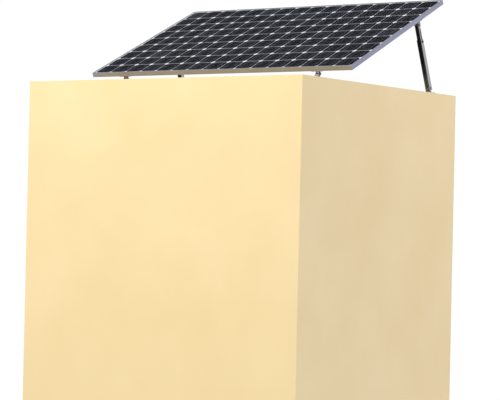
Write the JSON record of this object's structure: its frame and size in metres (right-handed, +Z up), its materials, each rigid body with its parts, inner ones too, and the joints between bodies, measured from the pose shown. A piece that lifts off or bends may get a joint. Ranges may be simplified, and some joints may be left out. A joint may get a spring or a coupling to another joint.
{
  "type": "solar panel",
  "caption": "Framed monocrystalline solar panel on hinged front feet and telescoping rear legs that set its tilt on a flat roof.",
  "frame": {"origin": "centre of the bounding box on the roof surface that the feet stand on", "axes": "+X across the panel, +Y from its lower edge to its raised edge, +Z up off the roof"},
  "size_m": [2.11, 1.288, 0.6609],
  "materials": {
    "frame_anodised": "clear anodised",
    "key_aluminium": "mill",
    "leg_aluminium": "clear anodised, dark inside",
    "lock_bolt_steel": "black oxide",
    "bolt_steel": "zinc plated",
    "bracket_steel": "galvanised",
    "rubber": "matt",
    "cover_glass": "smooth, clear",
    "solar_cell": "dark coated silicon wafer",
    "ribbon": "tinned",
    "encapsulant": "clear film",
    "backsheet": "satin film",
    "circuit_board": "lacquered",
    "black_plastic": "moulded"
  },
  "bodies": {
    "root": {"front_foot_left": "bracket_steel", "front_foot_pad_left": "rubber", "front_foot_pad_right": "rubber", "front_foot_right": "bracket_steel", "front_hinge_bolt_left": "bolt_steel", "front_hinge_bolt_right": "bolt_steel", "leg_foot_bolt_left": "bolt_steel", "leg_foot_bolt_right": "bolt_steel", "rear_foot_left": "bracket_steel", "rear_foot_pad_left": "rubber", "rear_foot_pad_right": "rubber", "rear_foot_right": "bracket_steel"},
    "leg_lower_left": {"leg_outer_channel_left": "leg_aluminium", "leg_lock_bolt_left": "lock_bolt_steel"},
    "leg_upper_left": {"leg_inner_channel_left": "leg_aluminium", "leg_top_bolt_left": "bolt_steel"},
    "leg_lower_right": {"leg_outer_channel_right": "leg_aluminium", "leg_lock_bolt_right": "lock_bolt_steel"},
    "leg_upper_right": {"leg_inner_channel_right": "leg_aluminium", "leg_top_bolt_right": "bolt_steel"},
    "panel": {"backsheet": "backsheet", "cable_gland_left": "black_plastic", "cable_gland_right": "black_plastic", "cell_strings_1": "solar_cell", "cell_strings_2": "solar_cell", "cell_strings_3": "solar_cell", "cell_strings_4": "solar_cell", "corner_key_lower_left": "key_aluminium", "corner_key_lower_right": "key_aluminium", "corner_key_upper_left": "key_aluminium", "corner_key_upper_right": "key_aluminium", "cover_glass": "cover_glass", "diode_board": "circuit_board", "edge_gasket": "rubber", "encapsulant_front": "encapsulant", "encapsulant_rear": "encapsulant", "frame_left": "frame_anodised", "frame_lower": "frame_anodised", "frame_right": "frame_anodised", "frame_upper": "frame_anodised", "hinge_bracket_bolt_left_1": "bolt_steel", "hinge_bracket_bolt_left_2": "bolt_steel", "hinge_bracket_bolt_right_1": "bolt_steel", "hinge_bracket_bolt_right_2": "bolt_steel", "hinge_bracket_left": "bracket_steel", "hinge_bracket_right": "bracket_steel", "junction_box_lid": "black_plastic", "junction_box_tray": "black_plastic", "leg_bracket_bolt_left_1": "bolt_steel", "leg_bracket_bolt_left_2": "bolt_steel", "leg_bracket_bolt_right_1": "bolt_steel", "leg_bracket_bolt_right_2": "bolt_steel", "leg_bracket_left": "bracket_steel", "leg_bracket_right": "bracket_steel", "string_link_1": "ribbon", "string_link_2": "ribbon", "string_link_3": "ribbon"}
  },
  "joints": [
    {"name": "panel_tilt", "type": "hinge", "parent": "root", "child": "panel", "pos_m": [0, -0.56626, 0.06149], "axis": [1, 0, 0], "range_deg": [-5, 8]},
    {"name": "leg_swing_left", "type": "hinge", "parent": "root", "child": "leg_lower_left", "pos_m": [-1.0315, 0.49443, 0.035], "axis": [1, 0, 0], "range_deg": [-1, 1]},
    {"name": "leg_slide_left", "type": "slide", "parent": "leg_lower_left", "child": "leg_upper_left", "axis": [0, -0.3971, 0.9178], "range_m": [-0.0845, 0.135]},
    {"name": "leg_swing_right", "type": "hinge", "parent": "root", "child": "leg_lower_right", "pos_m": [1.0315, 0.49443, 0.035], "axis": [1, 0, 0], "range_deg": [-1, 1]},
    {"name": "leg_slide_right", "type": "slide", "parent": "leg_lower_right", "child": "leg_upper_right", "axis": [0, -0.3971, 0.9178], "range_m": [-0.0845, 0.135]}
  ],
  "couplings": [
    {"joint": "leg_swing_left", "follows": "panel_tilt", "ratio": 0.07},
    {"joint": "leg_slide_left", "follows": "panel_tilt", "m_per_rad": 0.965},
    {"joint": "leg_swing_right", "follows": "panel_tilt", "ratio": 0.07},
    {"joint": "leg_slide_right", "follows": "panel_tilt", "m_per_rad": 0.965}
  ]
}
